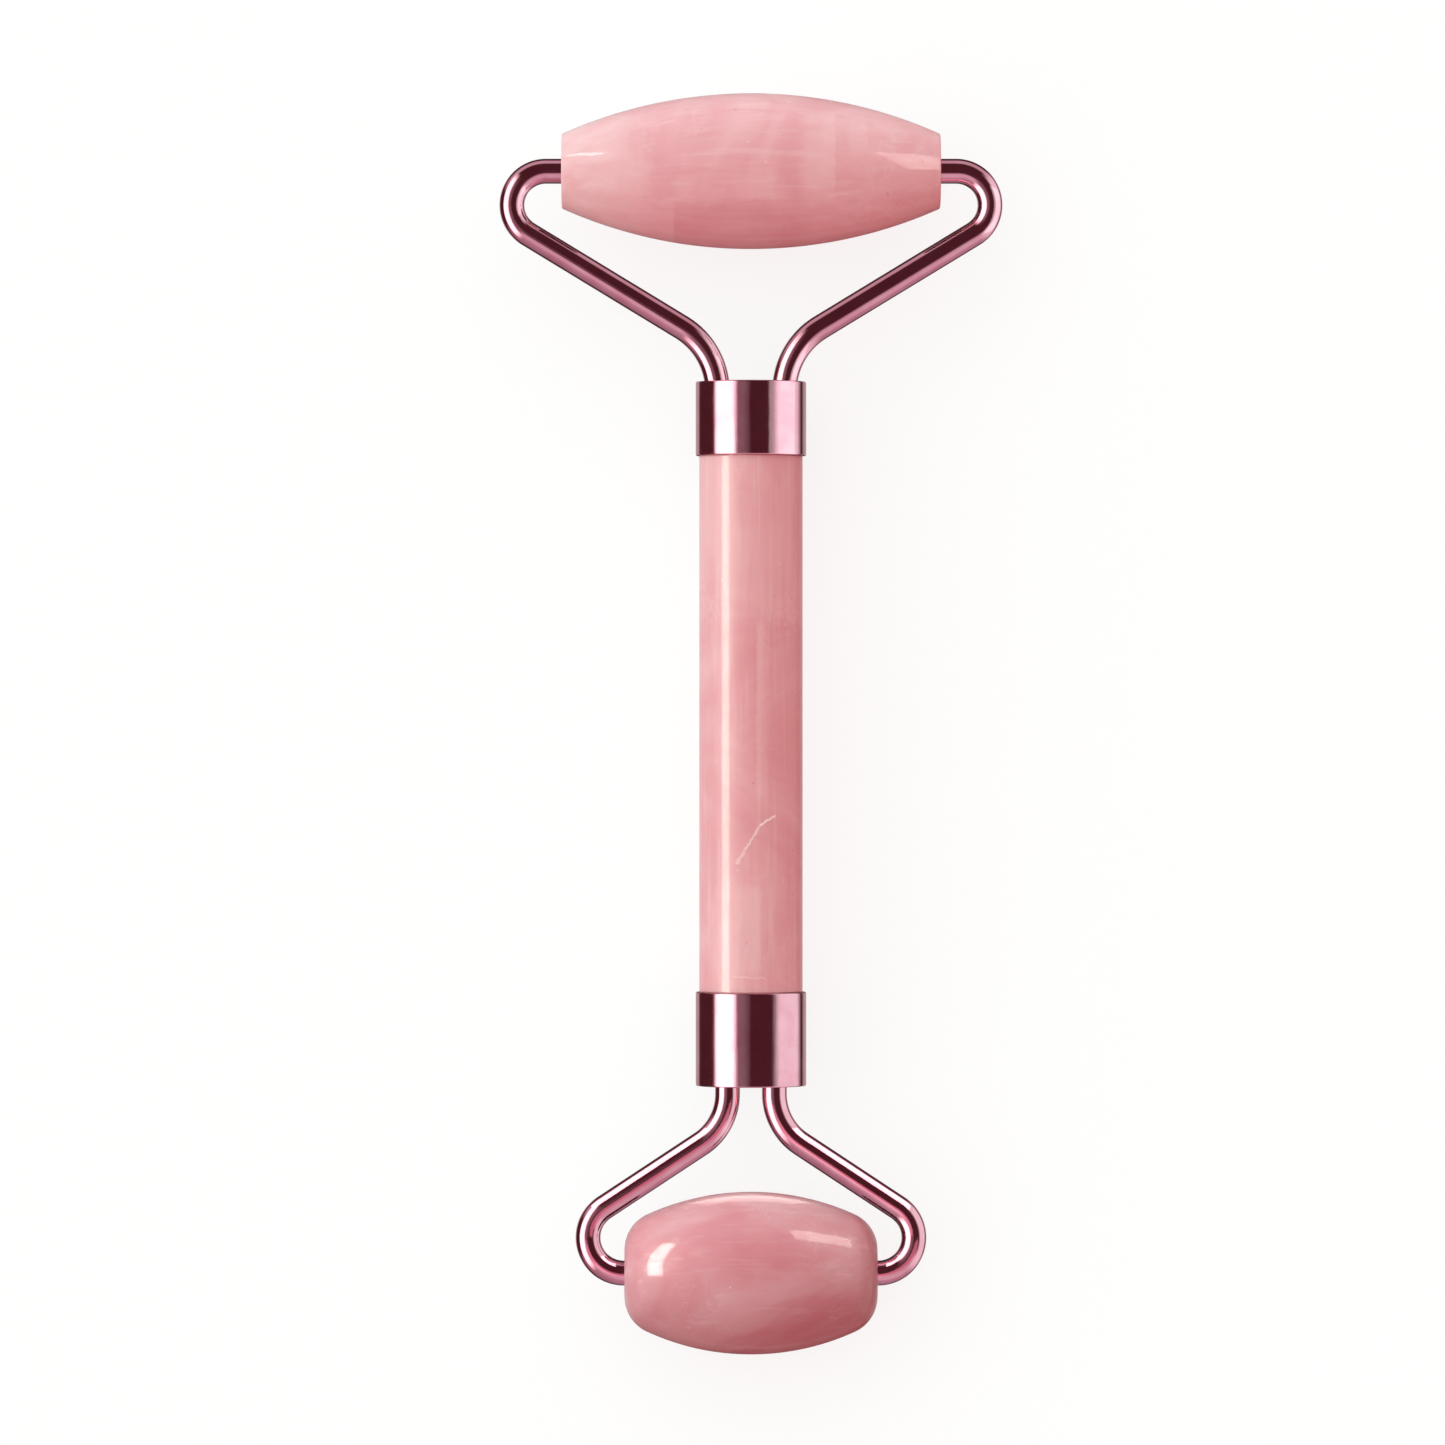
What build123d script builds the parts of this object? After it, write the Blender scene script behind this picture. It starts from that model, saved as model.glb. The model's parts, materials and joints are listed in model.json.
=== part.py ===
from build123d import *
import os
from dataclasses import dataclass
from math import cos, radians, sin, sqrt, tan

# Two-ended facial massage roller: a stone handle carries a wire yoke at each end, and each yoke
# holds a stone barrel that turns on the yoke's two pins.
#
# Frame: millimetres, +Z up.  The tool lies at rest on its two barrels.  The origin is on the
# resting surface, midway along the tool.  +Y runs along the handle towards the large barrel,
# and +X is to the right.  The handle's axis, both barrel axes and all the wire lie in one
# level plane, a small barrel's radius above the surface.

# ---- Handle and ferrules ----
handle_diameter = 12.0
handle_exposed = 62.3  # stone that shows between the two ferrules
spigot_diameter = 11.4  # ground-down ends of the handle, inside the ferrules
handle_edge = 0.15  # broken edge on each shoulder of the handle
ferrule_diameter = 12.85
ferrule_wall = 0.5
ferrule_end_wall = 0.9  # the closed end, which the wire passes through
ferrule_edge = 0.2

# ---- Wire and its bearings ----
wire_diameter = 2.9
pin_depth = 5.0  # how far each pin reaches into its barrel
pin_tip_edge = 0.35
running_clearance = 0.05  # radial, between a pin and its bush
bush_diameter = 4.2
bush_length = 6.0
bush_edge = 0.15


@dataclass
class Yoke:
    """One end of the tool: its ferrule, its pair of bent wire arms and its barrel."""

    side: int  # +1 towards +Y, -1 towards -Y
    ferrule_length: float
    plug_length: float  # metal plug behind the ferrule's end wall
    reach: float  # ferrule's end to the barrel's axis
    half_span: float  # tool's centre line to the outermost point of the wire's centre line
    elbow_radius: float
    slope: float  # degrees between an arm's straight run and the barrel's axis
    leg_bend_radius: float
    leg_offset: float  # tool's centre line to a leg's centre line
    barrel_radius: float
    barrel_half_length: float
    crown_radius: float  # the barrel's lengthwise curve
    barrel_edge: float  # rounding between the barrel's crown and its flat ends

    @property
    def rim_y(self):
        return self.side * handle_exposed / 2

    @property
    def face_y(self):
        return self.rim_y + self.side * self.ferrule_length

    @property
    def axis_y(self):
        return self.face_y + self.side * self.reach

    @property
    def spigot_length(self):
        return self.ferrule_length - ferrule_end_wall - self.plug_length

    @property
    def end_radius(self):
        """Barrel radius where its crown would meet the flat end."""
        sagitta = self.crown_radius - sqrt(self.crown_radius**2 - self.barrel_half_length**2)
        return self.barrel_radius - sagitta


large = Yoke(
    side=1,
    ferrule_length=8.6,
    plug_length=3.4,
    reach=24.5,
    half_span=27.8,
    elbow_radius=3.94,
    slope=31.3,
    leg_bend_radius=8.75,
    leg_offset=3.9,
    barrel_radius=9.05,
    barrel_half_length=22.0,
    crown_radius=53.8,
    barrel_edge=0.3,
)
small = Yoke(
    side=-1,
    ferrule_length=10.9,
    plug_length=4.4,
    reach=21.8,
    half_span=18.95,
    elbow_radius=4.15,
    slope=33.4,
    leg_bend_radius=7.0,
    leg_offset=2.72,
    barrel_radius=9.45,
    barrel_half_length=14.7,
    crown_radius=29.1,
    barrel_edge=4.45,
)

axis_height = small.barrel_radius  # the larger of the two barrel radii rests on the surface


def cross_plane(y, side):
    """Plane square to the handle, y along it, facing the end of the tool named by side."""
    return Plane(origin=(0, y, axis_height), x_dir=(1, 0, 0), z_dir=(0, side, 0))


def barrel_axis(yoke):
    return Axis((0, yoke.axis_y, axis_height), (1, 0, 0))


# ---- Stone handle: a plain rod with a ground-down spigot at each end ----
def handle():
    with BuildPart() as rod:
        with BuildSketch(cross_plane(0, 1)):
            Circle(handle_diameter / 2)
        extrude(amount=handle_exposed / 2, both=True)
        chamfer(rod.faces().filter_by(Axis.Y).edges(), handle_edge)
        for yoke in (large, small):
            with BuildSketch(cross_plane(yoke.rim_y, yoke.side)):
                Circle(spigot_diameter / 2)
            extrude(amount=yoke.spigot_length)
    return rod


# ---- Wire arm: pin, elbow, straight run, leg bend and leg in one bent piece ----
def wire_arm(yoke, hand):
    """hand is +1 for the right arm and -1 for the left."""
    outward = Vector(hand, 0, 0)
    homeward = Vector(0, -yoke.side, 0)
    plane = Plane((0, yoke.axis_y, axis_height), x_dir=outward, z_dir=outward.cross(homeward))

    slope = radians(yoke.slope)
    elbow_start = yoke.half_span - yoke.elbow_radius
    elbow_end_x = elbow_start + yoke.elbow_radius * sin(slope)
    elbow_end_y = yoke.elbow_radius * (1 + cos(slope))
    bend_start_x = yoke.leg_offset + yoke.leg_bend_radius * (1 - sin(slope))
    bend_start_y = elbow_end_y + (elbow_end_x - bend_start_x) * tan(slope)
    bend_end_y = bend_start_y + yoke.leg_bend_radius * cos(slope)
    leg_end_y = yoke.reach + ferrule_end_wall + yoke.plug_length
    bend_turn = 90 - yoke.slope

    with BuildPart() as arm:
        with BuildLine(plane) as route:
            Line((yoke.barrel_half_length - pin_depth, 0), (elbow_start, 0))
            JernArc((elbow_start, 0), (1, 0), yoke.elbow_radius, 180 - yoke.slope)
            Line((elbow_end_x, elbow_end_y), (bend_start_x, bend_start_y))
            JernArc(
                (bend_start_x, bend_start_y),
                (-cos(slope), sin(slope)),
                yoke.leg_bend_radius,
                -bend_turn,
            )
            Line((yoke.leg_offset, bend_end_y), (yoke.leg_offset, leg_end_y))
        with BuildSketch(Plane(route.line @ 0, z_dir=outward)):
            Circle(wire_diameter / 2)
        sweep(path=route.line)
        chamfer(arm.faces().filter_by(Axis.X).edges(), pin_tip_edge)
    return arm


# ---- Ferrule: a drawn cup over the handle's end, pierced by the two legs ----
def ferrule(yoke, arms):
    with BuildPart() as cup:
        with BuildSketch(cross_plane(yoke.rim_y, yoke.side)):
            Circle(ferrule_diameter / 2)
        extrude(amount=yoke.ferrule_length)
        chamfer(cup.faces().filter_by(Axis.Y).edges(), ferrule_edge)
        with BuildSketch(cross_plane(yoke.rim_y, yoke.side)):
            Circle(ferrule_diameter / 2 - ferrule_wall)
        extrude(amount=yoke.ferrule_length - ferrule_end_wall, mode=Mode.SUBTRACT)
        for arm in arms:
            add(arm.part, mode=Mode.SUBTRACT)
    return cup


# ---- Anchor plug: a metal disc behind the ferrule's end wall that the legs are fixed in ----
def anchor_plug(yoke, arms):
    with BuildPart() as plug:
        with BuildSketch(cross_plane(yoke.rim_y + yoke.side * yoke.spigot_length, yoke.side)):
            Circle(ferrule_diameter / 2 - ferrule_wall)
        extrude(amount=yoke.plug_length)
        for arm in arms:
            add(arm.part, mode=Mode.SUBTRACT)
    return plug


# ---- Adhesive: the sleeve of cured glue between a spigot and its ferrule ----
def rod_adhesive(yoke):
    with BuildPart() as sleeve:
        with BuildSketch(cross_plane(yoke.rim_y, yoke.side)):
            Circle(ferrule_diameter / 2 - ferrule_wall)
            Circle(spigot_diameter / 2, mode=Mode.SUBTRACT)
        extrude(amount=yoke.spigot_length)
    return sleeve


# ---- Stone barrel: one crowned profile turned about the pins' line, drilled right through ----
def barrel(yoke):
    half = yoke.barrel_half_length
    bore = bush_diameter / 2
    with BuildPart() as stone:
        with BuildSketch(Plane((0, yoke.axis_y, axis_height))) as profile:
            with BuildLine():
                ThreePointArc((-half, yoke.end_radius), (0, yoke.barrel_radius), (half, yoke.end_radius))
                Polyline((half, yoke.end_radius), (half, bore), (-half, bore), (-half, yoke.end_radius))
            make_face()
            fillet(profile.vertices().group_by(Axis.Y)[-1], yoke.barrel_edge)
        revolve(axis=barrel_axis(yoke))
    return stone


# ---- Bush: a plain plastic sleeve, flush with the barrel's end, that a pin runs in ----
def bush(yoke, hand):
    """hand is +1 for the bush in the right end and -1 for the left."""
    mouth = Plane(
        origin=(hand * yoke.barrel_half_length, yoke.axis_y, axis_height),
        z_dir=(-hand, 0, 0),
    )
    with BuildPart() as sleeve:
        with BuildSketch(mouth):
            Circle(bush_diameter / 2)
            Circle(wire_diameter / 2 + running_clearance, mode=Mode.SUBTRACT)
        extrude(amount=bush_length)
        mouth_edges = sleeve.edges().group_by(Axis.X)[-1 if hand > 0 else 0]
        chamfer(mouth_edges.sort_by(SortBy.RADIUS)[0], bush_edge)
    return sleeve


def write(piece, name):
    piece.part.label = name
    export_step(piece.part, f"parts/{name}.step")


os.makedirs("parts", exist_ok=True)
write(handle(), "handle_rod")

for end_name, yoke in (("large", large), ("small", small)):
    arms = {hand_name: wire_arm(yoke, hand) for hand_name, hand in (("left", -1), ("right", 1))}
    for hand_name, arm in arms.items():
        write(arm, f"{end_name}_arm_{hand_name}")
    write(ferrule(yoke, arms.values()), f"{end_name}_ferrule")
    write(anchor_plug(yoke, arms.values()), f"{end_name}_anchor_plug")
    write(rod_adhesive(yoke), f"{end_name}_rod_adhesive")
    write(barrel(yoke), f"{end_name}_roller_stone")
    for hand_name, hand in (("left", -1), ("right", 1)):
        write(bush(yoke, hand), f"{end_name}_roller_bush_{hand_name}")
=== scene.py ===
import json
from math import asin, cos, pi, radians, sin, sqrt, tan

import bmesh
import bpy
from mathutils import Matrix, Vector, noise


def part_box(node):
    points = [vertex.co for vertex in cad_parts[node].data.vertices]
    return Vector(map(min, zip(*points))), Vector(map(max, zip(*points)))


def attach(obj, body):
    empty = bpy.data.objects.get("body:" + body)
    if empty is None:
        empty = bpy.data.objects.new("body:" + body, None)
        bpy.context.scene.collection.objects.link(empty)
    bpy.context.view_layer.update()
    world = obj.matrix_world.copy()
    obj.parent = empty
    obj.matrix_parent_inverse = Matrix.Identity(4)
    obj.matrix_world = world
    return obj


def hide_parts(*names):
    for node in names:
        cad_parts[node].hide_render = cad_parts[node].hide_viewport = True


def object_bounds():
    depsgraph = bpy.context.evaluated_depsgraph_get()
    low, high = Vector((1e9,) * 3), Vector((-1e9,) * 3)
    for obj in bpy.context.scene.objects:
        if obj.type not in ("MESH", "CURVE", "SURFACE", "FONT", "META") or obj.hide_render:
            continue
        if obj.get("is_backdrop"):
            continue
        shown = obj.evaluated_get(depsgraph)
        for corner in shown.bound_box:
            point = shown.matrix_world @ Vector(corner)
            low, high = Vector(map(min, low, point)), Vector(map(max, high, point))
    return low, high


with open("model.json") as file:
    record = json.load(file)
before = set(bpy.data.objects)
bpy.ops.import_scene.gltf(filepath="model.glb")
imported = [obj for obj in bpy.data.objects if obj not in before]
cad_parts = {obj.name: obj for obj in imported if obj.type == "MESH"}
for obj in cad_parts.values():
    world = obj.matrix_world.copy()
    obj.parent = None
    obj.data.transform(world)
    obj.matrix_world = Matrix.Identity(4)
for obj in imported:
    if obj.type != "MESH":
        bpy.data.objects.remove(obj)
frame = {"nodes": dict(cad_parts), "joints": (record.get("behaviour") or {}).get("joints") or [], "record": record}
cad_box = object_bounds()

MM = 0.001

# ---------------------------------------------------------------------------
# Where things are, read from the frame
# ---------------------------------------------------------------------------
BODIES = frame["record"]["behaviour"]["bodies"]
JOINTS = {joint["name"]: joint for joint in frame["joints"]}
LARGE_AXIS = Vector(JOINTS["large_roller_spin"]["pos_m"])
SMALL_AXIS = Vector(JOINTS["small_roller_spin"]["pos_m"])
AXIS_Z = LARGE_AXIS.z


def size(node):
    lowest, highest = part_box(node)
    return Vector(highest) - Vector(lowest)


def low_corner(node):
    return Vector(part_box(node)[0])


def high_corner(node):
    return Vector(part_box(node)[1])


WIRE_RADIUS = size("large_arm_right").z / 2

# ---------------------------------------------------------------------------
# Small sizes that the frame doesn't give
# ---------------------------------------------------------------------------
STONE_UNDERCUT = 0.03 * MM  # deepest that hand polishing leaves the stone below its true form
POLISH_WAVE = 6 * MM  # spacing of the uneven places that hand polishing leaves
HANDLE_EDGE = 0.15 * MM  # rounding of the handle's shoulders and spigots
GLUE = 0.225 * MM  # thickness of the adhesive round the handle's spigots
METAL_EDGE = 0.16 * MM  # rounding of the ferrules' edges
LEG_GAP = 0.05 * MM  # between a leg and its hole in the ferrule
PIN_TIP_ROUND = 0.35 * MM
PIN_DEPTH = 5.0 * MM  # how far a pin reaches into its barrel
PIN_CLEARANCE = 0.05 * MM
BUSH_EDGE = 0.1 * MM
BORE_MOUTH = 0.12 * MM  # rounding where a barrel's bore meets its ends

# Bends of the wire: slope of the straight run in degrees, radius of the elbow and of the leg's
# bend, and distance of the leg from the tool's centre line
YOKES = {
    "large": {"slope": 31.3, "elbow": 3.94 * MM, "bend": 8.75 * MM, "leg": 3.9 * MM},
    "small": {"slope": 33.4, "elbow": 4.15 * MM, "bend": 7.0 * MM, "leg": 2.72 * MM},
}

# ---------------------------------------------------------------------------
# Meshes
# ---------------------------------------------------------------------------
SHARP_ANGLE = radians(30)
MERGE_DISTANCE = 1e-8
SHADE_HOLD = 0.05 * MM  # distance of the extra point that keeps the shading flat beside an arc

# How many steps each stretch of an outline or a route is divided into
ROUND_STEPS = 8
HANDLE_STEPS = 60
PIN_STEPS = 8
ELBOW_STEPS = 56
RUN_STEPS = 20
BEND_STEPS = 24
LEG_STEPS = 6
CROWN_STEPS = 96
SHOULDER_STEPS = 24
BORE_STEPS = 24


def add_object(name, data):
    made = bpy.data.objects.new(name, data)
    bpy.context.scene.collection.objects.link(made)
    return made


def spaced(start, end, steps):
    """Evenly spaced points on the straight line from start to end, without start itself."""
    return [
        tuple(a + (b - a) * step / steps for a, b in zip(start, end))
        for step in range(1, steps + 1)
    ]


def rounded(corners, closed=False):
    """Outline through (along, radius, rounding) corners, with each rounding as an arc."""
    points = []
    for index, (x, y, rounding) in enumerate(corners):
        here = Vector((x, y))
        if not rounding:
            points.append(here)
            continue
        following = corners[(index + 1) % len(corners)] if closed else corners[index + 1]
        before = (Vector(corners[index - 1][:2]) - here).normalized()
        after = (Vector(following[:2]) - here).normalized()
        half = before.angle(after) / 2
        reach = rounding / tan(half)
        centre = here + (before + after).normalized() * rounding / sin(half)
        start = here + before * reach - centre
        sweep = start.angle_signed(here + after * reach - centre)
        points.append(centre + start + before * SHADE_HOLD)
        for step in range(ROUND_STEPS + 1):
            turn = -sweep * step / ROUND_STEPS
            spoke = Vector((
                start.x * cos(turn) - start.y * sin(turn),
                start.x * sin(turn) + start.y * cos(turn),
            ))
            points.append(centre + spoke)
        points.append(here + after * (reach + SHADE_HOLD))
    return points


def finished_mesh(name, vertices, faces):
    mesh = bpy.data.meshes.new(name)
    mesh.from_pydata(vertices, [], faces)
    cleaner = bmesh.new()
    cleaner.from_mesh(mesh)
    bmesh.ops.remove_doubles(cleaner, verts=cleaner.verts, dist=MERGE_DISTANCE)
    bmesh.ops.recalc_face_normals(cleaner, faces=cleaner.faces)
    cleaner.to_mesh(mesh)
    cleaner.free()
    for face in mesh.polygons:
        face.use_smooth = True
    mesh.set_sharp_from_angle(angle=SHARP_ANGLE)
    return mesh


def lathe(name, outline, place, turns=192, closed=False):
    """Solid of revolution. place(along, radius, angle) gives a point; a radius of 0 is a pole."""
    vertices, rings = [], []
    for point in outline:
        if point.y <= 0:
            rings.append([len(vertices)] * turns)
            vertices.append(place(point.x, 0, 0))
        else:
            rings.append(list(range(len(vertices), len(vertices) + turns)))
            vertices += [place(point.x, point.y, 2 * pi * turn / turns) for turn in range(turns)]
    neighbours = rings[1:] + rings[:1] if closed else rings[1:]
    faces = []
    for first, second in zip(rings, neighbours):
        for turn in range(turns):
            following = (turn + 1) % turns
            corners = (first[turn], first[following], second[following], second[turn])
            face = list(dict.fromkeys(corners))  # a pole gives the same corner twice
            if len(face) > 2:
                faces.append(face)
    return finished_mesh(name, vertices, faces)


def about_y(along, radius, angle):
    return (radius * sin(angle), along, AXIS_Z + radius * cos(angle))


def about_axle(centre):
    def place(along, radius, angle):
        return (along, centre.y + radius * cos(angle), centre.z + radius * sin(angle))

    return place


def about_barrel(centre, seed):
    """Places points about a barrel's axis, with the slight unevenness of hand polishing."""
    true_place = about_axle(centre)

    def place(along, radius, angle):
        point = Vector(true_place(along, radius, angle))
        wave = noise.noise(point / POLISH_WAVE + Vector((seed, 0, 0)))
        sunk = STONE_UNDERCUT * (0.5 + 0.5 * wave)
        return true_place(along, max(0.0, radius - sunk), angle)

    return place


def tube(name, route, radius, tip, ring=56):
    """Round wire along a level route. Its first end is rounded by tip, and its last is flat."""
    headings = []
    for index in range(len(route)):
        before, after = route[max(index - 1, 0)], route[min(index + 1, len(route) - 1)]
        headings.append((after - before).normalized())
    rings = []
    for step in range(ROUND_STEPS + 1):
        turn = pi / 2 * step / ROUND_STEPS
        centre = route[0] + headings[0] * (tip * (1 - cos(turn)))
        rings.append((centre, headings[0], radius - tip * (1 - sin(turn))))
    rings += [(point, heading, radius) for point, heading in zip(route[1:], headings[1:])]
    up = Vector((0, 0, 1))
    vertices = []
    for centre, heading, width in rings:
        side = heading.cross(up)
        for turn in range(ring):
            angle = 2 * pi * turn / ring
            vertices.append(centre + side * (width * cos(angle)) + up * (width * sin(angle)))
    faces = [list(range(ring)), list(range(len(vertices) - ring, len(vertices)))]
    for index in range(len(rings) - 1):
        base = index * ring
        for turn in range(ring):
            following = (turn + 1) % ring
            faces.append([base + turn, base + following, base + ring + following, base + ring + turn])
    return finished_mesh(name, vertices, faces)


def piece(name, mesh, material, node):
    """Shows mesh in place of a CAD node, in the same body, with the given material."""
    made = add_object(name, mesh)
    mesh.materials.append(material)
    body = next(body for body, nodes in BODIES.items() if node in nodes)
    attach(made, body)
    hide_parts(node)
    return made


# ---------------------------------------------------------------------------
# Node graphs
# ---------------------------------------------------------------------------


def tint(red, green, blue):
    """Scene-linear colour from 0-255 display values."""
    return tuple(((value / 255 + 0.055) / 1.055) ** 2.4 for value in (red, green, blue)) + (1.0,)


class Graph:
    """Short names for the shader nodes that the materials and the world are built from."""

    def __init__(self, owner):
        owner.use_nodes = True
        self.tree = owner.node_tree
        self.tree.nodes.clear()

    def add(self, kind, inputs=None, **settings):
        made = self.tree.nodes.new(kind)
        for key, value in settings.items():
            setattr(made, key, value)
        for socket, value in (inputs or {}).items():
            self.put(made.inputs[socket], value)
        return made

    def put(self, socket, value):
        if isinstance(value, bpy.types.NodeSocket):
            self.tree.links.new(value, socket)
        else:
            socket.default_value = value

    def math(self, operation, *values):
        made = self.add("ShaderNodeMath", operation=operation)
        for socket, value in zip(made.inputs, values):
            self.put(socket, value)
        return made.outputs[0]

    def product(self, first, *others):
        for value in others:
            first = self.math("MULTIPLY", first, value)
        return first

    def scaled(self, vector, factors, shift=(0, 0, 0)):
        made = self.add("ShaderNodeVectorMath", operation="MULTIPLY_ADD")
        for socket, value in zip(made.inputs, (vector, factors, shift)):
            self.put(socket, value)
        return made.outputs[0]

    def split(self, vector):
        return self.add("ShaderNodeSeparateXYZ", {0: vector}).outputs

    def noise(self, vector, scale, detail, roughness=0.5, distortion=0.0):
        inputs = {
            "Vector": vector,
            "Scale": scale,
            "Detail": detail,
            "Roughness": roughness,
            "Distortion": distortion,
        }
        return self.add("ShaderNodeTexNoise", inputs).outputs["Fac"]

    def jittered(self, vector, scale, most):
        """vector moved by noise, by anything from 0 to most along each axis."""
        inputs = {"Vector": vector, "Scale": scale, "Detail": 3.0}
        shifts = self.add("ShaderNodeTexNoise", inputs).outputs["Color"]
        return self.scaled(shifts, (most, most, most), vector)

    def step(self, value, start, end, low=0.0, high=1.0):
        """Smooth change from low to high as value goes from start to end."""
        inputs = {0: value, 1: start, 2: end, 3: low, 4: high}
        return self.add("ShaderNodeMapRange", inputs, interpolation_type="SMOOTHSTEP").outputs[0]

    def band(self, value, start, end, soft):
        """1 between start and end, with edges that are soft wide."""
        rise = self.step(value, start - soft / 2, start + soft / 2)
        fall = self.step(value, end - soft / 2, end + soft / 2, 1.0, 0.0)
        return self.product(rise, fall)

    def mix(self, factor, first, second):
        made = self.add("ShaderNodeMix", data_type="RGBA")
        for index, value in ((0, factor), (6, first), (7, second)):
            self.put(made.inputs[index], value)
        return made.outputs[2]

    def bump(self, height, strength, distance):
        inputs = {"Height": height, "Strength": strength, "Distance": distance}
        return self.add("ShaderNodeBump", inputs).outputs[0]

    def object_mm(self):
        """The piece's own coordinates, in millimetres."""
        own = self.add("ShaderNodeTexCoord").outputs["Object"]
        return self.scaled(own, (1 / MM, 1 / MM, 1 / MM))


def surface(name, **constants):
    """New material with a Principled shader. Constants go on the shader's own sockets."""
    material = bpy.data.materials.new(name)
    graph = Graph(material)
    shader = graph.add("ShaderNodeBsdfPrincipled")
    out = graph.add("ShaderNodeOutputMaterial")
    graph.tree.links.new(shader.outputs[0], out.inputs[0])
    for key, value in constants.items():
        shader.inputs[key.replace("_", " ")].default_value = value
    return material, graph, shader


# ---------------------------------------------------------------------------
# Stone
# ---------------------------------------------------------------------------
STONE_PALE = tint(243, 196, 195)
STONE_DEEP = tint(210, 120, 127)
STONE_WHITE = tint(250, 226, 221)
STONE_DARK = tint(184, 92, 100)
FLAW_WANDER = 0.7  # mm, how far the edges of cracks and veils wander

# Healed cracks on the handle's front: start, end (mm in the frame's XY), width (mm), strength
HANDLE_CRACKS = (
    ((-1.6, -16.1), (-0.6, -14.4), 0.24, 0.35),
    ((-0.6, -14.4), (1.1, -11.7), 0.18, 0.5),
    ((1.1, -11.7), (2.7, -10.7), 0.16, 0.8),
    ((-2.0, -29.2), (1.6, -29.5), 0.16, 0.25),
)
# Veils: two opposite corners (mm in the frame's XY), width of the fade at the left and at the
# right side (mm), colour, strength
HANDLE_VEILS = (
    ((-1.9, -28.5), (1.8, -18.6), (0.8, 0.6), STONE_WHITE, 0.2),
    ((0.8, -8.0), (2.6, 12.0), (0.4, 1.2), STONE_PALE, 0.3),
)
LARGE_VEILS = (
    ((5.2, 60.6), (10.2, 70.8), (2.2, 0.3), STONE_PALE, 0.4),
    ((11.2, 66.6), (13.9, 69.9), (1.0, 0.3), STONE_PALE, 0.35),
    ((-8.8, 55.0), (8.5, 60.3), (0.4, 6.0), STONE_DEEP, 0.4),
    ((-23.5, 56.0), (-9.5, 72.0), (0.5, 11.0), STONE_WHITE, 0.25),
)


def line_distance(graph, point, start, end):
    """Distance from point to the straight line between start and end, in the XY plane."""
    along = end - start
    length = along.length
    along.normalize()
    x, y, _ = graph.split(point)
    dx = graph.math("SUBTRACT", x, start.x)
    dy = graph.math("SUBTRACT", y, start.y)
    travel = graph.math("MULTIPLY_ADD", dy, along.y, graph.math("MULTIPLY", dx, along.x))
    across = graph.math("MULTIPLY_ADD", dy, along.x, graph.math("MULTIPLY", dx, -along.y))
    short = graph.math("MULTIPLY", travel, -1.0)
    beyond = graph.math("SUBTRACT", travel, length)
    past = graph.math("MAXIMUM", graph.math("MAXIMUM", short, beyond), 0.0)
    squares = graph.math("MULTIPLY_ADD", past, past, graph.math("MULTIPLY", across, across))
    return graph.math("SQRT", squares)


def veiled(graph, colour, point, veils, uneven):
    """colour with each veil laid over it, stronger where the noise called uneven is high."""
    x, y, _ = graph.split(point)
    for start, end, fades, patch, strength in veils:
        rise = graph.step(x, start[0], start[0] + fades[0])
        fall = graph.step(x, end[0] - fades[1], end[0], 1.0, 0.0)
        tall = graph.band(y, start[1], end[1], 1.6)
        thin = graph.step(uneven, 0.3, 0.6, 0.4 * strength, strength)
        colour = graph.mix(graph.product(rise, fall, tall, thin), colour, patch)
    return colour


def cracked(graph, colour, point, cracks, front):
    """colour with each crack drawn on it as a pale line, where front is 1."""
    middle = Vector((FLAW_WANDER / 2, FLAW_WANDER / 2))  # what the wander moves point by on average
    for start, end, width, strength in cracks:
        away = line_distance(graph, point, Vector(start) + middle, Vector(end) + middle)
        line = graph.step(away, width * 0.4, width, strength, 0.0)
        colour = graph.mix(graph.product(line, front), colour, STONE_WHITE)
    return colour


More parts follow.
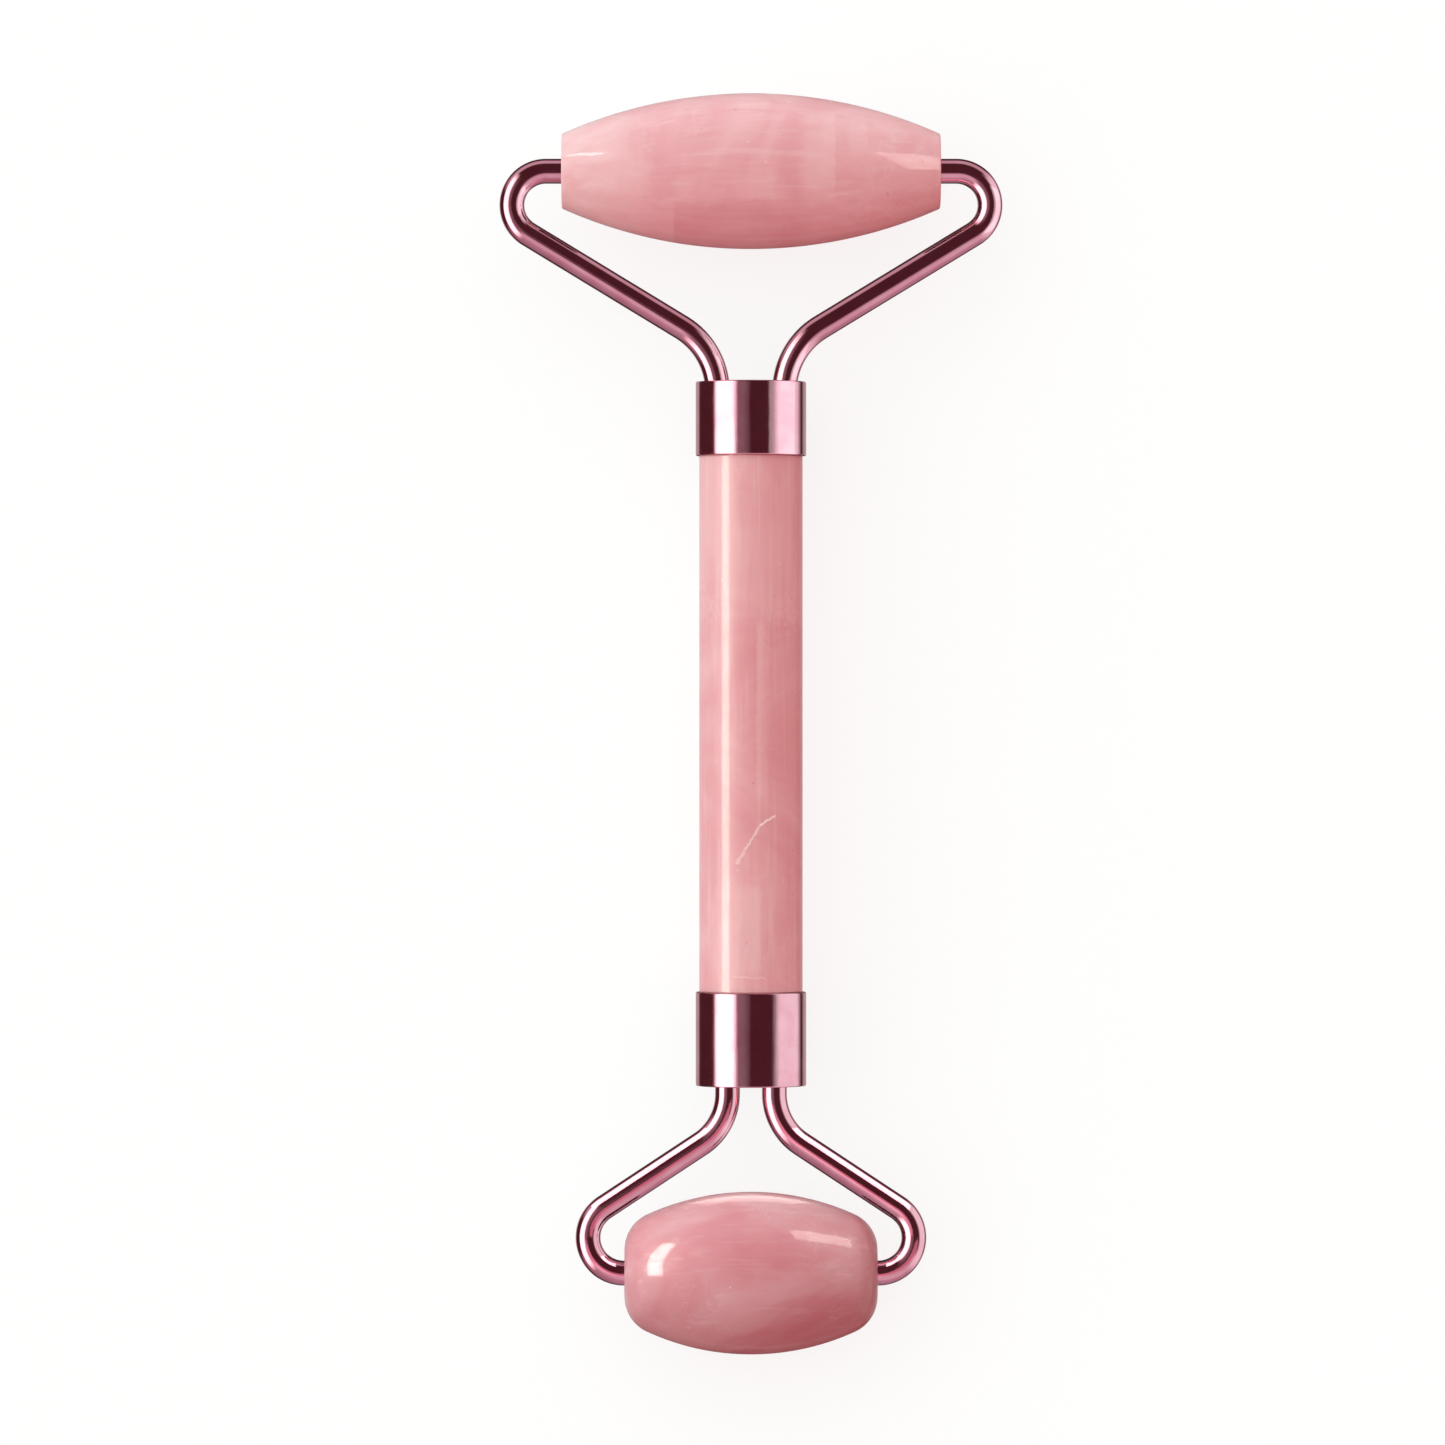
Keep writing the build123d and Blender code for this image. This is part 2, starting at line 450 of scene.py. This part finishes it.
def stone(name, seed, grain, middle, marked, cracks=(), veils=()):
    """Polished rose-pink quartz: cloudy, faintly veined, with specks and flaws.

    grain scales the veins along each axis: the smaller the number, the longer they are drawn out.
    middle is the piece's own overall colour, because no two pieces are cut from the same stone;
    the small barrel's is darkened to the colour of its shaded side, which is painted shade.
    marked is how strongly its veins, wisps and specks show.
    cracks are healed cracks, and veils are square-cut patches where the stone is paler or deeper.
    """
    material, graph, shader = surface(
        name,
        IOR=1.54,
        Specular_IOR_Level=0.1,
        Coat_Weight=0.2,
        Coat_Roughness=0.03,
        Subsurface_Weight=0.3,
        Subsurface_Radius=(1.0, 0.45, 0.42),
        Subsurface_Scale=0.0014,
    )
    place = graph.object_mm()
    shifted = graph.scaled(place, (1, 1, 1), (seed, seed * 0.7, -seed))
    drawn_out = graph.scaled(shifted, grain)

    clouds = graph.noise(shifted, 0.055, detail=4, roughness=0.55, distortion=1.2)
    colour = graph.mix(graph.step(clouds, 0.36, 0.66), STONE_DEEP, STONE_PALE)
    colour = graph.mix(0.78, colour, middle)

    veins = graph.noise(drawn_out, 0.5, detail=5, roughness=0.6, distortion=0.6)
    colour = graph.mix(graph.step(veins, 0.52, 0.75, 0.0, 0.2 * marked), colour, STONE_WHITE)
    colour = graph.mix(graph.step(veins, 0.30, 0.45, 0.2 * marked, 0.0), colour, STONE_DEEP)

    wisps = graph.noise(shifted, 0.16, detail=5, roughness=0.6, distortion=2.0)
    ridge = graph.math("ABSOLUTE", graph.math("SUBTRACT", wisps, 0.5))
    patches = graph.step(graph.noise(shifted, 0.1, detail=2), 0.5, 0.68)
    wisp = graph.product(graph.step(ridge, 0.0, 0.03, 0.12 * marked, 0.0), patches)
    colour = graph.mix(wisp, colour, STONE_WHITE)

    cells = graph.add("ShaderNodeTexVoronoi", {"Vector": shifted, "Scale": 0.42}).outputs
    kind = graph.add("ShaderNodeSeparateColor", {0: cells["Color"]}).outputs[0]
    speck_colour = graph.mix(graph.step(kind, 0.45, 0.5), STONE_DARK, STONE_WHITE)
    speck = graph.step(cells["Distance"], 0.03, 0.08, 0.4 * marked, 0.0)
    colour = graph.mix(speck, colour, speck_colour)

    wandering = graph.jittered(place, 1.3, FLAW_WANDER)
    if veils:
        colour = veiled(graph, colour, wandering, veils, graph.noise(drawn_out, 0.3, detail=4))
    if cracks:
        front = graph.step(graph.split(place)[2], AXIS_Z / MM, AXIS_Z / MM + 1)
        colour = cracked(graph, colour, wandering, cracks, front)
    graph.put(shader.inputs["Base Color"], colour)

    polish = graph.noise(shifted, 1.1, detail=4, roughness=0.6)
    graph.put(shader.inputs["Roughness"], graph.step(polish, 0.3, 0.75, 0.28, 0.42))
    pits = graph.noise(shifted, 0.9, detail=3, roughness=0.55)
    graph.put(shader.inputs["Normal"], graph.bump(pits, 0.03, 0.0002))
    return material


# ---------------------------------------------------------------------------
# Metal, nylon, brass and adhesive
# ---------------------------------------------------------------------------
METAL_ROSE = tint(226, 162, 174)
METAL_DEEP = tint(219, 148, 162)


def polished_metal(name, grain, roughness):
    """Rose-gold plate with fine polishing marks. grain draws them out as it does in stone()."""
    material, graph, shader = surface(name, Metallic=1.0, Roughness=roughness)
    place = graph.object_mm()
    marks = graph.noise(graph.scaled(place, grain), 3.0, detail=5, roughness=0.65)
    bloom = graph.noise(place, 0.35, detail=3)
    colour = graph.mix(graph.step(bloom, 0.3, 0.7), METAL_ROSE, METAL_DEEP)
    graph.put(shader.inputs["Base Color"], colour)
    rough = graph.step(marks, 0.3, 0.8, roughness * 0.7, roughness * 1.5)
    graph.put(shader.inputs["Roughness"], rough)
    graph.put(shader.inputs["Normal"], graph.bump(marks, 0.05, 0.0001))
    return material


def nylon():
    material, graph, shader = surface(
        "bush_nylon", Roughness=0.45, IOR=1.53, Subsurface_Weight=0.2, Subsurface_Scale=0.0005
    )
    place = graph.object_mm()
    mottle = graph.noise(place, 2.0, detail=4)
    colour = graph.mix(mottle, tint(226, 220, 212), tint(242, 238, 232))
    graph.put(shader.inputs["Base Color"], colour)
    fine = graph.noise(place, 6.0, detail=3)
    graph.put(shader.inputs["Normal"], graph.bump(fine, 0.1, 0.0001))
    return material


def machined_brass():
    material, graph, shader = surface("plug_brass", Metallic=1.0, Roughness=0.3)
    rings = graph.noise(graph.scaled(graph.object_mm(), (1, 8, 1)), 1.5, detail=4)
    colour = graph.mix(rings, tint(190, 150, 84), tint(222, 186, 116))
    graph.put(shader.inputs["Base Color"], colour)
    graph.put(shader.inputs["Roughness"], graph.step(rings, 0.3, 0.7, 0.22, 0.4))
    return material


def cured_adhesive():
    material, graph, shader = surface("cured_adhesive", Roughness=0.25, IOR=1.5)
    flow = graph.noise(graph.object_mm(), 0.8, detail=4, distortion=1.0)
    colour = graph.mix(flow, tint(214, 200, 170), tint(236, 228, 205))
    graph.put(shader.inputs["Base Color"], colour)
    graph.put(shader.inputs["Normal"], graph.bump(flow, 0.2, 0.0002))
    return material


handle_stone = stone(
    "rose_stone_handle", 3.0, (2.4, 0.1, 2.4), tint(227, 157, 159), 0.8, HANDLE_CRACKS, HANDLE_VEILS
)
large_stone = stone(
    "rose_stone_large", 21.0, (0.15, 2.2, 2.2), tint(232, 166, 169), 0.9, veils=LARGE_VEILS
)
# Painted shade: the small barrel's middle colour is the darker colour of its shaded side
small_stone_painted_shade = stone("rose_stone_small_painted_shade", 47.0, (0.2, 2.0, 2.0), tint(174, 98, 103), 0.4)
wire_metal = polished_metal("rose_gold_wire", (1, 1, 1), 0.05)
cup_metal = polished_metal("rose_gold_cup", (1, 0.08, 1), 0.09)
nylon_plastic = nylon()
brass = machined_brass()
adhesive = cured_adhesive()

# ---------------------------------------------------------------------------
# Handle
# ---------------------------------------------------------------------------


def handle_outline():
    first_rim = high_corner("small_ferrule").y
    last_rim = low_corner("large_ferrule").y
    first_end, last_end = low_corner("handle_rod").y, high_corner("handle_rod").y
    body = size("handle_rod").x / 2
    spigot = size("large_rod_adhesive").x / 2 - GLUE
    corners = [
        (first_end, 0, 0),
        (first_end, spigot, HANDLE_EDGE),
        (first_rim, spigot, 0),
        (first_rim, body, HANDLE_EDGE),
    ]
    between = spaced((first_rim, body), (last_rim, body), HANDLE_STEPS)[:-1]
    corners += [(*point, 0) for point in between]
    corners += [
        (last_rim, body, HANDLE_EDGE),
        (last_rim, spigot, 0),
        (last_end, spigot, HANDLE_EDGE),
        (last_end, 0, 0),
    ]
    return rounded(corners)


handle_mesh = lathe("handle_stone_rod", handle_outline(), about_y)
piece("handle_stone_rod", handle_mesh, handle_stone, "handle_rod")

# ---------------------------------------------------------------------------
# Yokes: wire arms and ferrules
# ---------------------------------------------------------------------------


def arm_route(end, hand, shape):
    """Centre line of one arm, from its pin's tip to its leg's end.

    hand is 1 for the right arm and -1 for the left.
    """
    node = f"{end}_arm_{'right' if hand > 0 else 'left'}"
    axis = LARGE_AXIS if end == "large" else SMALL_AXIS
    home = -1 if end == "large" else 1  # Y direction from the barrel towards the handle
    slope = radians(shape["slope"])
    elbow, bend, leg = shape["elbow"], shape["bend"], shape["leg"]
    tip = high_corner(f"{end}_roller_stone").x - PIN_DEPTH
    half_span = high_corner(f"{end}_arm_right").x - WIRE_RADIUS
    leg_end = abs((low_corner(node).y if home < 0 else high_corner(node).y) - axis.y)

    elbow_x = half_span - elbow
    points = [(tip, 0)] + spaced((tip, 0), (elbow_x, 0), PIN_STEPS)
    for step in range(1, ELBOW_STEPS + 1):
        turn = (pi - slope) * step / ELBOW_STEPS
        points.append((elbow_x + elbow * sin(turn), elbow * (1 - cos(turn))))
    run_x, run_y = points[-1]
    bend_x = leg + bend * (1 - sin(slope))
    bend_y = run_y + (run_x - bend_x) * tan(slope)
    points += spaced(points[-1], (bend_x, bend_y), RUN_STEPS)
    centre_x, centre_y = leg + bend, bend_y + bend * cos(slope)
    for step in range(1, BEND_STEPS + 1):
        turn = slope + (pi / 2 - slope) * step / BEND_STEPS
        points.append((centre_x - bend * sin(turn), centre_y - bend * cos(turn)))
    points += spaced(points[-1], (leg, leg_end), LEG_STEPS)
    return [Vector((hand * x, axis.y + home * y, AXIS_Z)) for x, y in points]


def cup_outline(end):
    """Closed outline of a ferrule: a thin wall, and an end wall that the anchor plug lies against."""
    cup, plug = f"{end}_ferrule", f"{end}_anchor_plug"
    outer, inner = size(cup).x / 2, size(plug).x / 2
    if end == "large":
        rim, face, bottom = low_corner(cup).y, high_corner(cup).y, high_corner(plug).y
    else:
        rim, face, bottom = high_corner(cup).y, low_corner(cup).y, low_corner(plug).y
    return rounded([
        (rim, inner, 0),
        (rim, outer, METAL_EDGE),
        (face, outer, METAL_EDGE),
        (face, 0, 0),
        (bottom, 0, 0),
        (bottom, inner, 0),
    ])


def leg_cutter(route):
    """Object a little wider than a wire's leg and bend, and longer, to cut the leg's hole with."""
    outwards = route[-1] + (route[-1] - route[-2])
    leg = route[-(BEND_STEPS + LEG_STEPS + 1):] + [outwards]
    return add_object("hole", tube("hole", leg, WIRE_RADIUS + LEG_GAP, LEG_GAP))


def pierce(cup, cutters):
    """Cuts the legs' holes through the closed end of a ferrule."""
    for cutter in cutters:
        cut = cup.modifiers.new("leg_hole", "BOOLEAN")
        cut.operation = "DIFFERENCE"
        cut.solver = "EXACT"
        cut.object = cutter
        with bpy.context.temp_override(object=cup, active_object=cup, selected_objects=[cup]):
            bpy.ops.object.modifier_apply(modifier=cut.name)
        bpy.data.objects.remove(cutter, do_unlink=True)
    cup.data.set_sharp_from_angle(angle=SHARP_ANGLE)


for end, shape in YOKES.items():
    cutters = []
    for hand, side in ((-1, "left"), (1, "right")):
        route = arm_route(end, hand, shape)
        name = f"{end}_wire_{side}"
        piece(name, tube(name, route, WIRE_RADIUS, PIN_TIP_ROUND), wire_metal, f"{end}_arm_{side}")
        cutters.append(leg_cutter(route))
    cup_mesh = lathe(f"{end}_cup", cup_outline(end), about_y, closed=True)
    pierce(piece(f"{end}_cup", cup_mesh, cup_metal, f"{end}_ferrule"), cutters)

# ---------------------------------------------------------------------------
# Barrels and their bushes
# ---------------------------------------------------------------------------


def barrel_outline(end, crown, edge):
    """Closed outline of a barrel and the bore through it.

    crown is the radius of its lengthwise curve, and edge that of its shoulders.
    """
    half = size(f"{end}_roller_stone").x / 2
    widest = size(f"{end}_roller_stone").z / 2
    bore = size(f"{end}_roller_bush_left").z / 2

    # The shoulder's arc runs smoothly from the crown's curve into the flat end
    centre_x = half - edge
    centre_y = widest - crown + sqrt((crown - edge) ** 2 - centre_x**2)
    tangent = asin(centre_x / (crown - edge))

    curve = []
    for step in range(CROWN_STEPS + 1):
        x = -half + 2 * half * step / CROWN_STEPS
        if abs(x) < crown * sin(tangent):
            curve.append(Vector((x, widest - crown + sqrt(crown * crown - x * x))))
    right = []
    for step in range(SHOULDER_STEPS + 1):
        turn = tangent + (pi / 2 - tangent) * step / SHOULDER_STEPS
        right.append(Vector((centre_x + edge * sin(turn), centre_y + edge * cos(turn))))
    right += [
        Vector((half, right[-1].y - SHADE_HOLD)),
        Vector((half, bore + BORE_MOUTH)),
        Vector((half - BORE_MOUTH * 0.3, bore + BORE_MOUTH * 0.3)),
        Vector((half - BORE_MOUTH, bore)),
    ]
    inner = []
    for step in range(1, BORE_STEPS):
        inner.append(Vector((half * (1 - 2 * step / BORE_STEPS) - BORE_MOUTH, bore)))
    left = [Vector((-point.x, point.y)) for point in reversed(right)]
    return [*curve, *right, *inner, *left]


def bush_outline(node):
    inner = WIRE_RADIUS + PIN_CLEARANCE
    outer = size(node).z / 2
    first, last = low_corner(node).x, high_corner(node).x
    corners = [(first, inner), (first, outer), (last, outer), (last, inner)]
    return rounded([(*corner, BUSH_EDGE) for corner in corners], closed=True)


BARRELS = {
    "large": {"crown": 53.8 * MM, "edge": 0.3 * MM, "axis": LARGE_AXIS, "stone": large_stone, "seed": 2.0},
    "small": {"crown": 29.1 * MM, "edge": 4.45 * MM, "axis": SMALL_AXIS, "stone": small_stone_painted_shade, "seed": 9.0},
}

for end, barrel in BARRELS.items():
    outline = barrel_outline(end, barrel["crown"], barrel["edge"])
    place = about_barrel(barrel["axis"], barrel["seed"])
    mesh = lathe(f"{end}_barrel", outline, place, turns=256, closed=True)
    made = piece(f"{end}_barrel", mesh, barrel["stone"], f"{end}_roller_stone")
    made.visible_glossy = False  # no pink glare from the barrel along the wire beside it
    for side in ("left", "right"):
        node = f"{end}_roller_bush_{side}"
        name = f"{end}_sleeve_{side}"
        mesh = lathe(name, bush_outline(node), about_axle(barrel["axis"]), turns=96, closed=True)
        piece(name, mesh, nylon_plastic, node)

# The plugs and the adhesive sleeves keep their CAD meshes
for node, material in (
    ("large_anchor_plug", brass),
    ("small_anchor_plug", brass),
    ("large_rod_adhesive", adhesive),
    ("small_rod_adhesive", adhesive),
):
    shown = frame["nodes"][node]
    shown.data.materials.clear()
    shown.data.materials.append(material)

# ---------------------------------------------------------------------------
# Studio: floor, light and camera
# ---------------------------------------------------------------------------
FLOOR_HALF = 3.0
FLOOR_DROP = 0.02 * MM  # keeps the floor clear of the barrel that rests on it
SOFTBOX_DISTANCE = 0.5
CAMERA_DISTANCE = 0.95  # above the wire
CAMERA_OFFSET = (-3.31 * MM, 0.16 * MM)  # X and Y, from the frame's origin
VIEW_WIDTH = 0.168  # at the wire's height


def floor():
    """Pale paper, partly self-lit so that it is nearly shadowless.

    It is hidden from reflected and bounced light, so the world lights the object from below too.
    """
    corners = [
        (-FLOOR_HALF, -FLOOR_HALF, 0),
        (FLOOR_HALF, -FLOOR_HALF, 0),
        (FLOOR_HALF, FLOOR_HALF, 0),
        (-FLOOR_HALF, FLOOR_HALF, 0),
    ]
    mesh = bpy.data.meshes.new("floor")
    mesh.from_pydata(corners, [], [(0, 1, 2, 3)])
    material, graph, shader = surface(
        "floor_paper", Roughness=0.9, Emission_Strength=0.8, Emission_Color=(1.0, 1.0, 0.995, 1.0)
    )
    fibre = graph.noise(graph.object_mm(), 0.5, detail=4)
    graph.put(shader.inputs["Base Color"], graph.mix(fibre, tint(120, 120, 119), tint(124, 124, 123)))
    mesh.materials.append(material)
    made = add_object("floor", mesh)
    made.location.z = -FLOOR_DROP
    made.visible_glossy = False
    made.visible_diffuse = False
    made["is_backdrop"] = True


def studio_world():
    """Light by direction: a soft gradient for matt surfaces, softboxes on dark for polished ones.

    The camera itself sees plain white.
    """
    world = bpy.data.worlds.new("studio")
    bpy.context.scene.world = world
    graph = Graph(world)
    x, y, z = graph.split(graph.add("ShaderNodeTexCoord").outputs["Generated"])
    rays = graph.add("ShaderNodeLightPath").outputs

    # Angles in degrees: zenith is down from +Z, lean is the same on a slant that falls towards +X,
    # and sideways is round from +Z towards +X
    zenith = graph.math("DEGREES", graph.math("ARCCOSINE", z))
    lean = graph.math("MULTIPLY_ADD", x, -30, zenith)
    sideways = graph.math("DEGREES", graph.math("ARCTAN2", x, z))

    # Quarters of the horizon: front is the small barrel's end, and back the large barrel's
    level = graph.math("SQRT", graph.math("ADD", graph.product(x, x), graph.product(y, y)))
    level = graph.math("MAXIMUM", level, 0.001)
    east = graph.math("DIVIDE", x, level)
    north = graph.math("DIVIDE", y, level)
    left = graph.step(east, -0.60, -0.84)
    right = graph.step(east, 0.60, 0.84)
    front = graph.step(north, -0.3, -0.6)
    back = graph.step(north, 0.3, 0.6)
    sides = graph.math("ADD", left, right)

    # What polished surfaces reflect: weight and colour of each region, each laid over the last
    regions = (
        (graph.product(graph.band(lean, 24, 134, 14), front), (0.45, 0.36, 0.41, 1)),
        (graph.product(graph.band(lean, 26, 98, 24), front), (0.61, 0.48, 0.56, 1)),
        (graph.product(graph.band(lean, 30, 66, 20), front), (0.82, 0.78, 0.83, 1)),
        (graph.product(graph.band(zenith, 74, 112, 16), back), (0.70, 0.66, 0.70, 1)),
        (graph.product(graph.band(sideways, -60, -6, 30), left), (0.30, 0.25, 0.27, 1)),
        (graph.product(graph.band(zenith, 54, 120, 22), right), (1.16, 1.40, 1.38, 1)),
        (graph.product(graph.band(sideways, -80, -34, 14), left), (3.0, 3.2, 3.0, 1)),
        (graph.step(zenith, 130, 138), (0.09, 0.07, 0.07, 1)),
        (graph.product(graph.step(zenith, 134, 144), sides), (0.55, 0.52, 0.50, 1)),
    )
    mirrored = (0.085, 0.03, 0.037, 1)
    for weight, colour in regions:
        mirrored = graph.mix(weight, mirrored, colour)

    # What matt surfaces get: brightest from the upper left, and redder as it dims
    red = graph.math("MULTIPLY_ADD", x, -0.38, graph.math("MULTIPLY_ADD", y, 0.34, 0.98))
    cool = graph.math("MULTIPLY_ADD", x, -0.74, graph.math("MULTIPLY_ADD", y, 0.72, 0.98))
    cool = graph.math("MAXIMUM", cool, 0.1)
    soft = graph.add("ShaderNodeCombineColor", {0: red, 1: cool, 2: cool}).outputs[0]

    seen = graph.mix(rays["Is Glossy Ray"], soft, mirrored)
    seen = graph.mix(rays["Is Camera Ray"], seen, (0.985, 0.985, 0.98, 1))
    background = graph.add("ShaderNodeBackground", {"Color": seen, "Strength": 1.0})
    out = graph.add("ShaderNodeOutputWorld")
    graph.tree.links.new(background.outputs[0], out.inputs[0])
    world.cycles.sampling_method = "NONE"


def heading(azimuth, zenith):
    """Unit vector at azimuth degrees round from +X and zenith degrees down from +Z."""
    around, down = radians(azimuth), radians(zenith)
    return Vector((sin(down) * cos(around), sin(down) * sin(around), cos(down)))


def softbox(name, target, start, end, width, light, receivers, matt=False):
    """Card of light that shows only as a highlight on receivers, or only in their matt shading.

    Seen from target, its centre line runs from direction start to direction end, and it is width
    degrees across. light is its red, green and blue radiance.
    """
    towards = (start + end).normalized()
    length_axis = (end - start).normalized()
    data = bpy.data.lights.new(name, "AREA")
    data.shape = "RECTANGLE"
    data.size = 2 * SOFTBOX_DISTANCE * tan(radians(width) / 2)
    data.size_y = 2 * SOFTBOX_DISTANCE * tan(start.angle(end) / 2)
    brightest = max(light)
    data.color = [channel / brightest for channel in light]
    data.energy = brightest * pi * data.size * data.size_y
    made = add_object(name, data)
    across = length_axis.cross(towards)
    turn = Matrix((across, length_axis, towards)).transposed().to_4x4()
    made.matrix_world = Matrix.Translation(Vector(target) + towards * SOFTBOX_DISTANCE) @ turn
    made.visible_camera = False
    made.visible_diffuse = matt
    made.visible_glossy = not matt
    group = bpy.data.collections.new(name)
    for receiver in receivers:
        group.objects.link(bpy.data.objects[receiver])
    made.light_linking.receiver_collection = group
    made.light_linking.blocker_collection = group


def highlights():
    """Light that only one or a few pieces should show, so each softbox is linked to those."""
    wires = ("small_wire_left", "small_wire_right")
    white, warm = (2.6, 2.75, 2.7), (0.6, 0.3, 0.38)
    softbox("small_wire_streak_left", SMALL_AXIS, heading(123, 52), heading(123, 101), 34, white, wires)
    softbox("small_wire_streak_right", SMALL_AXIS, heading(57, 52), heading(57, 101), 34, white, wires)
    softbox("small_wire_warmth", SMALL_AXIS, heading(-90, 5), heading(-90, 30), 80, warm, wires)

    centre = (0, 0, AXIS_Z)
    metal = ("large_cup", "large_wire_left", "large_wire_right")
    softbox("large_metal_right", centre, heading(0, 38), heading(0, 104), 60, (0.45, 0.65, 0.6), metal)
    slant = heading(180, 58.5)
    side = Vector((0, 2.6, 0))  # far enough for the streak to run the handle's whole length
    first, last = (slant - side).normalized(), (slant + side).normalized()
    softbox("handle_streak", centre, first, last, 18, (26, 24, 20), ("handle_stone_rod",))

    small = ("small_barrel",)
    cool = (3.4, 5.4, 5.4)
    softbox("small_key", SMALL_AXIS, heading(135, 30), heading(135, 70), 40, cool, small, matt=True)
    softbox("small_window_left", SMALL_AXIS, heading(182, 45), heading(128, 66), 8, (60, 55, 50), small)
    softbox("small_window_right", SMALL_AXIS, heading(71, 65), heading(47, 76), 15, (19, 17, 16), small)
    softbox("small_rim_light", SMALL_AXIS, heading(105, 136), heading(75, 136), 20, (6, 5.5, 5.2), small)

    large = ("large_barrel",)
    softbox("large_streak_left", LARGE_AXIS, heading(141, 51), heading(141, 64), 4, (36, 34, 32), large)
    softbox("large_patch_right", LARGE_AXIS, heading(2, 50), heading(40, 53), 18, (13, 12, 11.5), large)


def camera():
    """Looks straight down, with the object a little right of the middle, as a catalogue shot does."""
    data = bpy.data.cameras.new("camera")
    data.sensor_width = 36.0
    data.lens = data.sensor_width * CAMERA_DISTANCE / VIEW_WIDTH
    data.clip_end = 20.0
    made = add_object("camera", data)
    made.location = (*CAMERA_OFFSET, AXIS_Z + CAMERA_DISTANCE)
    bpy.context.scene.camera = made


floor()
studio_world()
highlights()
camera()
bpy.context.scene.view_settings.view_transform = "Standard"

visual_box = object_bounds()
boxes = {"cad": cad_box, "visual": visual_box}
{name: [list(corner) for corner in box] for name, box in boxes.items()}
